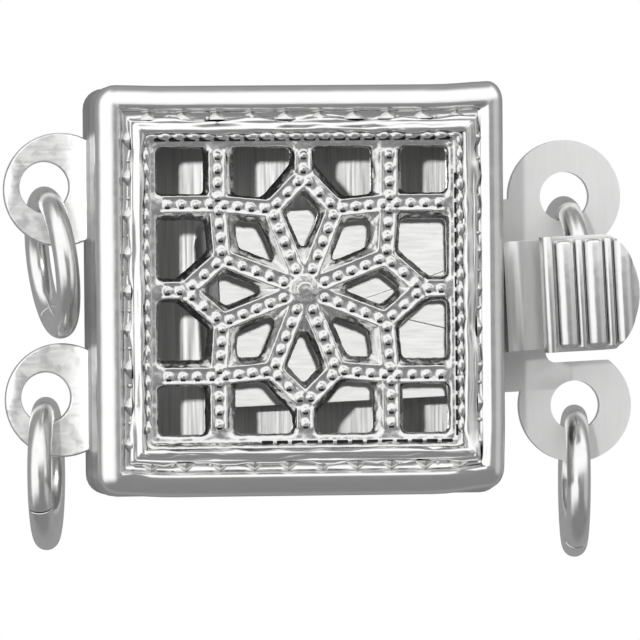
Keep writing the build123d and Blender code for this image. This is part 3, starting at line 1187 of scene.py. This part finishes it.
@dataclass
class BoxShell(RoundedSquare):
    """The box under the cover: floor, stepped walls with the tongue's slot, and the two fixed eyelets."""

    half_width: float = 4.91
    half_height: float = 4.93
    corner_radius: float = 0.50
    crisp_radius: float = 0.105
    corner_steps: int = 6
    step_level: float = 2.45
    wall_top: float = 3.28
    seat_inset: float = 0.13
    cavity_inset: float = 0.40
    floor_level: float = 0.35
    slot_half_width: float = 2.65
    slot_top: float = 2.215
    skin: float = 0.3
    hole_reach: float = 1.02
    lobe_reach: float = 0.63
    lobe_drop: float = 0.07
    lobe_bite: float = 0.1
    eyelet: Eyelet = field(default_factory=Eyelet)

    def shell(self) -> Piece:
        """Make the floor and the walls with the slot.

        Returns:
            The shell.
        """
        outline = [
            (0.03, 0.0), (0.0, 0.03), (0.0, self.step_level), (self.seat_inset, self.step_level),
            (self.seat_inset, self.wall_top), (self.cavity_inset, self.wall_top),
            (self.cavity_inset, self.floor_level + 0.03), (self.cavity_inset + 0.03, self.floor_level)]
        shell = Piece.frame_of(
            "box_shell_walls", [self.loop(inset, level) for inset, level in outline], self.corner_steps,
            closed=False)
        slot_height = self.slot_top - self.floor_level
        slot = Piece.block(
            "slot", (0.8, 2 * self.slot_half_width, slot_height),
            (self.half_width - 0.2, 0, self.floor_level + slot_height / 2))
        return shell.combine(Cut.REMOVE, slot)

    def eyelets(self) -> Piece:
        """Make the two flat eyelets on the left wall.

        Returns:
            Both eyelets as one piece.
        """
        both = []
        for side in (1, -1):
            up = side * self.eyelet.pitch / 2
            lobe = self.eyelet.lobe(-self.half_width - self.lobe_reach, up - self.lobe_drop)
            hole = self.eyelet.hole(-self.half_width - self.hole_reach, up)
            wall = Piece.block("wall", (2.0, 4.0, 1.0), (-self.half_width + self.lobe_bite + 1.0, up, 0.6))
            both.append(lobe.combine(Cut.REMOVE, hole, wall).soften(0.045, steps=3))
        return both[0].gather(both[1])

    def build(self) -> None:
        """Make and dress the box and its eyelets."""
        def is_outside(middle: Vector, normal: Vector) -> bool:
            """Tell the outer walls and the back from the brushed inside."""
            x, y, z = (abs(place) / MM for place in middle)
            return x > self.half_width - self.skin or z > self.half_height - self.skin or y < self.skin / 3

        # The inside's dark brushed silver is partly painted shade.
        shell = self.shell().finish(
            "box_shell_walls", BRUSHED_SHADED_BACK, Body.BOX, Slot.BOX, ["box_shell"], smooth_angle=35)
        # The outer walls get the greyer silver of painted shade.
        shell.dress_faces(DIMMED_BOX_OUTSIDE, is_outside)
        self.eyelets().finish("fixed_eyelets", ROUGH_SHEET, Body.BOX, Slot.BOX, flat_sheet=True)


# Tongue and spring leaf


@dataclass
class TongueFrame:
    """Where the tongue lies: it is a little low and turned in its slot."""

    root_x: float = 4.91
    root_y: float = -0.21
    turn: float = 2.5

    def matrix(self) -> Matrix:
        """Give the move from the tongue's own frame to the bench."""
        turn = Matrix.Rotation(math.radians(self.turn), 4, "Z")
        return Matrix.Translation((self.root_x, self.root_y, 0)) @ turn


@dataclass
class TonguePlate:
    """The flat leaf that slides in the box, its two eyelets and its rounded fold."""

    width: float = 4.70
    nose: float = -7.18
    fold_radius: float = 0.50
    nose_corner: float = 0.85
    hole_reach: float = 2.01
    hole_drop: float = 0.21
    notch_reach: float = 1.35
    notch_width: float = 2.95
    notch_drop: float = 0.22
    notch_corner: float = 0.25
    eyelet: Eyelet = field(default_factory=Eyelet)
    frame: TongueFrame = field(default_factory=TongueFrame)

    def nose_fold(self) -> Piece:
        """Make the half-round fold at the nose.

        Returns:
            The fold.
        """
        thickness = self.eyelet.high - self.eyelet.low
        centre = (self.nose + self.fold_radius, 0, self.eyelet.low + self.fold_radius)
        fold = Piece.rod("fold", self.fold_radius, self.width, centre, facets=64)
        bore = Piece.rod("bore", self.fold_radius - thickness, self.width + 1, centre, facets=48)
        front = Piece.block("front", (2.0, self.width + 1, 2.0), (centre[0] + 1.0, 0, centre[2]))
        return fold.combine(Cut.REMOVE, bore, front)

    def plate(self) -> Piece:
        """Make the whole plate in the tongue's own frame.

        Returns:
            The plate.
        """
        low, high = self.eyelet.low, self.eyelet.high
        start = self.nose + self.fold_radius
        length = self.hole_reach - start
        plate = Piece.block(
            "plate", (length, self.width, high - low), (start + length / 2, 0, (low + high) / 2))
        plan = Piece.block(
            "plan", (self.hole_reach - self.nose + 6, self.width, 3.0),
            ((self.hole_reach + self.nose) / 2 + 3, 0, 1.0))
        corners = [(self.nose, side * self.width / 2) for side in (1, -1)]
        plan.round_uprights(corners, self.nose_corner, steps=10)
        plate.combine(Cut.JOIN, self.nose_fold()).combine(Cut.KEEP, plan)
        holes = [(self.hole_reach, side * self.eyelet.pitch / 2 - self.hole_drop) for side in (1, -1)]
        plate.combine(Cut.JOIN, *(self.eyelet.lobe(*hole) for hole in holes))
        notch = Piece.block(
            "notch", (4.0, self.notch_width, 1.0),
            (self.notch_reach + 2.0, -self.notch_drop, (low + high) / 2))
        notch.round_uprights(
            [(self.notch_reach, side * self.notch_width / 2 - self.notch_drop) for side in (1, -1)],
            self.notch_corner, steps=6)
        plate.combine(Cut.REMOVE, notch, *(self.eyelet.hole(*hole) for hole in holes))
        return plate.soften(0.05, steps=3)

    def build(self) -> None:
        """Make and dress the plate."""
        plate = self.plate().place(self.frame.matrix())
        plate.finish("tongue_leaf", SATIN_SHEET, Body.TONGUE, Slot.TONGUE, ["tongue_plate"], flat_sheet=True)


@dataclass
class SpringLeaf:
    """The upper leaf with its catch shoulders, the pointed end of the neck, the neck and the thumb piece."""

    width: float = 4.70
    thickness: float = 0.30
    nose: float = -7.18
    start: float = -6.66
    start_level: float = 1.30
    slope: float = 5.5
    nose_corner: float = 0.85
    plan_inset: float = 0.001
    shoulder: float = -0.45
    point_length: float = 3.20
    point_width: float = 1.86
    point_relief: float = 0.14
    neck_width: float = 2.66
    neck_overlap: float = 0.2
    neck_place: float = 0.34
    neck_level: float = 3.30
    bend_radius: float = 0.20
    thumb_start: float = 0.95
    thumb_overlap: float = 0.1
    thumb_width: float = 2.79
    thumb_end: float = 3.29
    thumb_bulge: float = 0.66
    thumb_corner: float = 0.45
    thumb_low: float = 3.15
    thumb_high: float = 3.50
    ribs: int = 3
    rib_setback: float = 0.10
    rib_radius: float = 0.235
    rib_level: float = 3.475
    rib_pitch: float = 0.71
    first_rib: float = 1.50
    strip_radius: float = 0.10
    strip_level: float = 3.50
    bar_radius: float = 0.13
    bar_level: float = 3.55
    frame: TongueFrame = field(default_factory=TongueFrame)

    def level_at(self, along: float) -> float:
        """Give the level of the leaf's middle so far along it."""
        return self.start_level + (along - self.start) * math.tan(math.radians(self.slope))

    def sloping(self, along: float, above: float) -> Matrix:
        """Give the place so far along the leaf and above its middle, tilted with it."""
        tilt = Matrix.Rotation(math.radians(-self.slope), 4, "Y")
        return Matrix.Translation((along, 0, self.level_at(along) + above)) @ tilt

    def leaf(self) -> Piece:
        """Make the sloping leaf with its rounded nose corners.

        Returns:
            The leaf.
        """
        middle = (self.start + self.shoulder) / 2
        run = (self.shoulder - self.start) / math.cos(math.radians(self.slope))
        half = self.width / 2 - self.plan_inset
        leaf = Piece.block("leaf", (run, self.width, self.thickness), (0, 0, 0))
        leaf.place(self.sloping(middle, 0.0))
        plan = Piece.block(
            "plan", (self.shoulder - self.nose + 2, 2 * half, 4.0),
            ((self.nose + self.shoulder) / 2 + 1, 0, 1.5))
        corners = [(self.nose, side * half) for side in (1, -1)]
        plan.round_uprights(corners, self.nose_corner, steps=10)
        return leaf.combine(Cut.KEEP, plan).soften(0.03, steps=2)

    def point(self) -> Piece:
        """Make the pointed end of the neck, which lies on the leaf.

        Returns:
            The point.
        """
        prism = Piece.start(
            "point", bpy.ops.mesh.primitive_cylinder_add, vertices=3, radius=1, depth=1,
            rotation=(0, 0, QUARTER))
        prism.place(Matrix.Diagonal((
            self.point_length / 1.5, self.point_width / math.sqrt(3), self.point_relief * 2, 1)))
        prism.place(self.sloping(self.shoulder - self.point_length / 3, self.thickness / 2))
        return prism.soften(0.035, steps=2)

    def neck(self) -> Piece:
        """Bend the strip that climbs out of the box to the thumb piece.

        Returns:
            The neck.
        """
        begin = self.shoulder - self.neck_overlap
        slope = math.radians(self.slope)
        radius = self.bend_radius
        climb = QUARTER - slope
        neck = Piece.start(
            "neck", bpy.ops.mesh.primitive_plane_add, (self.thickness, self.neck_width, 1), size=1,
            location=(begin, 0, self.level_at(begin)), rotation=(0, climb, 0))
        tangent = radius * math.tan(climb / 2)
        foot = Vector((self.neck_place, 0, self.level_at(self.neck_place)))
        bend_start = foot - Vector((math.cos(slope), 0, math.sin(slope))) * tangent
        first_centre = bend_start + Vector((-math.sin(slope), 0, math.cos(slope))) * radius
        second_centre = Vector((self.neck_place + radius, 0, self.neck_level - radius))
        first_leg = bend_start - Vector((begin, 0, self.level_at(begin)))
        second_leg = Vector((0, 0, second_centre.z - foot.z - tangent))
        last_leg = Vector((self.thumb_start + self.thumb_overlap - self.neck_place - radius, 0, 0))
        with neck.editing("FACE"):
            bpy.ops.mesh.select_all(action="SELECT")
            bpy.ops.mesh.extrude_region_move(TRANSFORM_OT_translate={"value": first_leg})
            bpy.ops.mesh.spin(steps=8, angle=-climb, center=first_centre, axis=(0, 1, 0))
            bpy.ops.mesh.extrude_region_move(TRANSFORM_OT_translate={"value": second_leg})
            bpy.ops.mesh.spin(steps=8, angle=QUARTER, center=second_centre, axis=(0, 1, 0))
            bpy.ops.mesh.extrude_region_move(TRANSFORM_OT_translate={"value": last_leg})
            bpy.ops.mesh.select_all(action="SELECT")
            bpy.ops.mesh.remove_doubles(threshold=0.0005)
            neck.turn_outwards()
        return neck.soften(0.03, steps=2, angle=50)

    def thumb(self) -> Piece:
        """Make the ribbed thumb piece with its round end.

        Returns:
            The thumb piece.
        """
        straight = self.thumb_end - self.thumb_bulge
        half = self.thumb_width / 2
        end_radius = (half ** 2 + self.thumb_bulge ** 2) / (2 * self.thumb_bulge)
        length = self.thumb_end - self.thumb_start
        middle = (self.thumb_start + self.thumb_end) / 2
        thumb = Piece.block(
            "thumb", (length, self.thumb_width, self.thumb_high - self.thumb_low),
            (middle, 0, (self.thumb_low + self.thumb_high) / 2))
        rib_length = self.thumb_width - 2 * self.rib_setback
        for step in range(self.ribs):
            place = self.first_rib + step * self.rib_pitch
            rib = Piece.rod("rib", self.rib_radius, rib_length, (place, 0, self.rib_level))
            thumb.combine(Cut.JOIN, rib.soften(0.10, steps=3))
            if step < self.ribs - 1:
                strip = Piece.rod(
                    "strip", self.strip_radius, rib_length,
                    (place + self.rib_pitch / 2, 0, self.strip_level), facets=20)
                thumb.combine(Cut.JOIN, strip)
        plan = Piece.disc(
            "end", end_radius, self.thumb_low - 0.5, self.thumb_high + 0.5,
            (self.thumb_end - end_radius, 0), facets=160)
        sides = Piece.block("sides", (9, 2 * (half - self.plan_inset), 9), (middle, 0, 0))
        plan.combine(Cut.KEEP, sides)
        plan.round_uprights([(straight, half), (straight, -half)], self.thumb_corner, steps=8)
        thumb.combine(Cut.KEEP, plan)
        bar = Piece.rod(
            "bar", self.bar_radius, self.thumb_width, (self.thumb_start + self.bar_radius, 0, self.bar_level))
        thumb.combine(Cut.JOIN, bar)
        return thumb.soften(0.025, steps=2, angle=40)

    def build(self) -> None:
        """Make and dress the leaf, the neck and the thumb piece."""
        parts = (
            (self.leaf(), "spring_leaf_sheet", BRUSHED_LEVEL, ["spring_leaf"]),
            (self.point(), "neck_point", BRUSHED_LEVEL, []),
            (self.neck(), "thumb_neck", SATIN_NECK, []),
            (self.thumb(), "thumb_piece", POLISHED_THUMB, []))
        for piece, name, finish, replaced in parts:
            piece.place(self.frame.matrix())
            piece.finish(name, finish, Body.LEAF, Slot.LEAF, replaced, flat_sheet=True)


# Jump rings


@dataclass
class JumpRing:
    """A round wire ring that hangs in an eyelet and closes at a butt seam.

    The hole is its eyelet's x, y and level. The turn swings the ring's front to the right and the lean its
    lower end; the seam lies so many degrees round the wire from the top.
    """

    name: str
    hole: tuple[float, float, float]
    turn: float
    lean: float
    seam: float
    body: Body
    wire_radius: float = 0.29
    mean_radius: float = 1.57
    seam_angle: float = 0.9
    hang: float = 0.275

    def build(self) -> None:
        """Make, hang and dress the ring."""
        ring = Piece.start(
            "ring", bpy.ops.mesh.primitive_circle_add, vertices=32, radius=self.wire_radius, fill_type="NGON",
            location=(self.mean_radius, 0, 0), rotation=(QUARTER, 0, 0))
        with ring.editing("FACE"):
            bpy.ops.mesh.select_all(action="SELECT")
            bpy.ops.mesh.spin(
                steps=110, angle=math.radians(360 - self.seam_angle), center=(0, 0, 0), axis=(0, 0, 1))
            ring.turn_outwards()
        ring.soften(0.012, steps=1, angle=60)
        lean, turn, seam = (math.radians(angle) for angle in (self.lean, self.turn, self.seam))
        top = Vector((-math.sin(lean), math.cos(lean), 0))
        front = Vector((math.sin(turn), 0, math.cos(turn)))
        normal = top.cross(front).normalized()
        seam_out = top * math.cos(seam) + normal.cross(top) * math.sin(seam)
        centre = Vector(self.hole) - Vector((0, self.hang, 0)) - top * self.mean_radius
        columns = Matrix((seam_out, normal.cross(seam_out), normal)).transposed().to_4x4()
        ring.place(Matrix.Translation(centre) @ columns)
        ring.finish(self.name + "_wire", POLISHED_WIRE, self.body, Slot.RING, [self.name])


# Studio


def direction_of(azimuth: float, elevation: float) -> Vector:
    """Give the way from the clasp that so many degrees to the right of its face and above it."""
    around, up = math.radians(azimuth), math.radians(elevation)
    return Vector((math.sin(around) * math.cos(up), -math.cos(around) * math.cos(up), math.sin(up)))


@dataclass(frozen=True)
class Softbox:
    """A small softbox: its name, power, direction and the pieces that it lights."""

    name: str
    power: float
    azimuth: float
    elevation: float
    lit: tuple[str, ...]


@dataclass
class Studio:
    """Pale floor, soft light and the camera of the photograph."""

    floor_level: float = -0.0125
    floor_radius: float = 0.06
    floor_pale: float = 0.70
    floor_speck: float = 0.62
    white_light: float = 1.15
    right_light: float = 0.55
    grey_light: float = 0.32
    low_light: float = 0.25
    back_light: float = 0.34
    lens_light: float = 0.26
    front_span: Span = (0.22, -0.22)
    left_span: Span = (-0.06, -0.36)
    left_foot_span: Span = (-0.70, -0.30)
    top_foot_span: Span = (0.06, 0.36)
    top_end_span: Span = (1.0, 0.90)
    right_span: Span = (0.62, 0.74)
    right_foot_span: Span = (-0.55, -0.35)
    ground_span: Span = (-0.02, -0.30)
    back_span: Span = (0.0, 0.4)
    lens_angles: Span = (11.0, 6.0)
    softbox_distance: float = 0.25
    softbox_size: float = 0.009
    azimuth: float = -7.5
    elevation: float = 0.5
    roll: float = 0.5
    distance: float = 0.22
    pixels_per_mm: float = 41.7
    picture_side: int = 640
    sensor: float = 36.0
    aim: tuple[float, float, float] = (0.0, -0.0038, 0.0)
    aim_pixel: tuple[float, float] = (304.3, 290.5)

    SOFTBOXES: ClassVar[tuple[Softbox, ...]] = (
        Softbox("key_softbox", 0.75, -17.0, 6.5, ("box_shell_walls",)),
        Softbox("plate_softbox", 0.09, -17.0, 6.5, ("tongue_leaf", "fixed_eyelets")),
        Softbox("leaf_softbox", 0.54, -5.0, 4.5, ("spring_leaf_sheet", "neck_point")))

    def floor(self) -> None:
        """Lay the round pale floor, which the polished metal doesn't mirror."""
        clear_selection()
        bpy.ops.mesh.primitive_circle_add(
            vertices=96, radius=self.floor_radius, fill_type="NGON", location=(0, 0, self.floor_level))
        sheet = NodeSheet(bpy.data.materials.new("pale_floor"))
        specks = sheet.noise(sheet.add("TexCoord").outputs["Object"], 300.0, 4.0)
        colour = sheet.mix(specks, (*[self.floor_speck] * 3, 1), (*[self.floor_pale] * 3, 1))
        paper = sheet.add("BsdfPrincipled", {"Base Color": colour, "Roughness": 0.9})
        sheet.add("OutputMaterial", {"Surface": paper.outputs["BSDF"]})
        floor = bpy.context.object
        floor.name = "studio_floor"
        floor.data.materials.append(sheet.owner)
        floor.visible_glossy = False

    def tent(self) -> None:
        """Light the world as a tent: white in front at the left and above, greyer elsewhere."""
        world = bpy.data.worlds.new("light_tent")
        bpy.context.scene.world = world
        sheet = NodeSheet(world)
        direction = sheet.add("TexCoord").outputs[0]
        across, depth, height = sheet.add("SeparateXYZ", {0: direction}).outputs

        def step(value: Socket, span: Span) -> Socket:
            """Rise smoothly from 0 to 1 over a span."""
            return sheet.chart(value, span, how="SMOOTHSTEP")

        def both(one: Socket, other: Socket) -> Socket:
            """Give the share of the sky where both hold."""
            return sheet.work("MULTIPLY", one, other)

        def blend(share: Socket, low: Socket | float, high: float) -> Socket:
            """Go from one strength to another by a share."""
            return sheet.add("Mix", {"Factor": share, "A": low, "B": high}, data_type="FLOAT").outputs[0]

        front = step(depth, self.front_span)
        left = both(step(across, self.left_span), step(height, self.left_foot_span))
        above = both(step(height, self.top_foot_span), step(height, self.top_end_span))
        right = both(step(across, self.right_span), step(height, self.right_foot_span))
        strength = blend(step(height, self.ground_span), self.grey_light, self.low_light)
        strength = blend(both(right, front), strength, self.right_light)
        strength = blend(step(depth, self.back_span), strength, self.back_light)
        strength = blend(both(sheet.work("MAXIMUM", left, above), front), strength, self.white_light)
        camera_way = direction_of(self.azimuth, self.elevation)
        facing = sheet.add("VectorMath", {0: direction, 1: camera_way}, operation="DOT_PRODUCT")
        lens = tuple(math.cos(math.radians(angle)) for angle in self.lens_angles)
        strength = blend(step(facing.outputs["Value"], lens), strength, self.lens_light)
        lit, seen = (
            sheet.add("Background", {"Color": (1, 1, 1, 1), "Strength": power}).outputs[0]
            for power in (strength, 1.0))
        seen_share = sheet.add("LightPath").outputs["Is Camera Ray"]
        shown = sheet.add("MixShader", {0: seen_share, 1: lit, 2: seen}).outputs[0]
        sheet.add("OutputWorld", {"Surface": shown})

    def softbox(self, box: Softbox) -> None:
        """Hang a small round softbox in front, for some pieces alone.

        Args:
            box: where it hangs, its power and what it lights.
        """
        light = bpy.data.lights.new(box.name, "AREA")
        light.shape = "DISK"
        light.size = self.softbox_size
        light.energy = box.power
        lamp = bpy.data.objects.new(box.name, light)
        direction = direction_of(box.azimuth, box.elevation)
        lamp.location = direction * self.softbox_distance
        lamp.rotation_euler = direction.to_track_quat("Z", "Y").to_euler()
        bpy.context.scene.collection.objects.link(lamp)
        lit = bpy.data.collections.new(box.name + "_lights")
        for piece in box.lit:
            lit.objects.link(bpy.data.objects[piece])
        lamp.light_linking.receiver_collection = lit

    def camera(self) -> None:
        """Set up the photograph's camera."""
        turn = (
            Matrix.Rotation(math.radians(self.azimuth), 4, "Z")
            @ Matrix.Rotation(math.radians(90 - self.elevation), 4, "X")
            @ Matrix.Rotation(math.radians(-self.roll), 4, "Z"))
        right, up, back = (turn.to_3x3().col[i] for i in range(3))
        half = self.picture_side / 2
        per_metre = self.pixels_per_mm / MM
        across = (self.aim_pixel[0] - half) / per_metre
        above = (half - self.aim_pixel[1]) / per_metre
        data = bpy.data.cameras.new("photo_camera")
        data.sensor_width = self.sensor
        data.lens = self.sensor * per_metre * self.distance / self.picture_side
        data.clip_start = 0.005
        data.clip_end = 20
        camera = bpy.data.objects.new("photo_camera", data)
        camera.matrix_world = Matrix.Translation(
            Vector(self.aim) + back * self.distance - right * across - up * above) @ turn
        bpy.context.scene.collection.objects.link(camera)
        bpy.context.scene.camera = camera

    def build(self) -> None:
        """Set up the floor, the light and the camera."""
        self.floor()
        self.tent()
        for box in self.SOFTBOXES:
            self.softbox(box)
        self.camera()
        bpy.context.scene.view_settings.view_transform = "Standard"
        log.info("studio: camera at azimuth %.1f", self.azimuth)


def main() -> None:
    """Build the clasp's looks in order, then the studio."""
    logging.basicConfig(level=logging.INFO, format="%(message)s")
    RolledFrame().build()
    FiligreeLattice().build()
    BoxShell().build()
    TonguePlate().build()
    SpringLeaf().build()
    rings = (
        JumpRing("jump_ring_upper_left", (-5.93, 2.55, 0.60), 6.5, 7.0, 212.0, Body.BOX),
        JumpRing("jump_ring_lower_left", (-5.93, -2.55, 0.60), -12.0, 0.0, 119.0, Body.BOX),
        JumpRing("jump_ring_upper_right", (6.816, 2.215, 0.60), 4.0, 1.0, 25.0, Body.TONGUE),
        JumpRing("jump_ring_lower_right", (7.039, -2.880, 0.60), -5.0, -0.5, 150.0, Body.TONGUE))
    for ring in rings:
        ring.build()
    Studio().build()


if __name__ == "__main__":
    main()
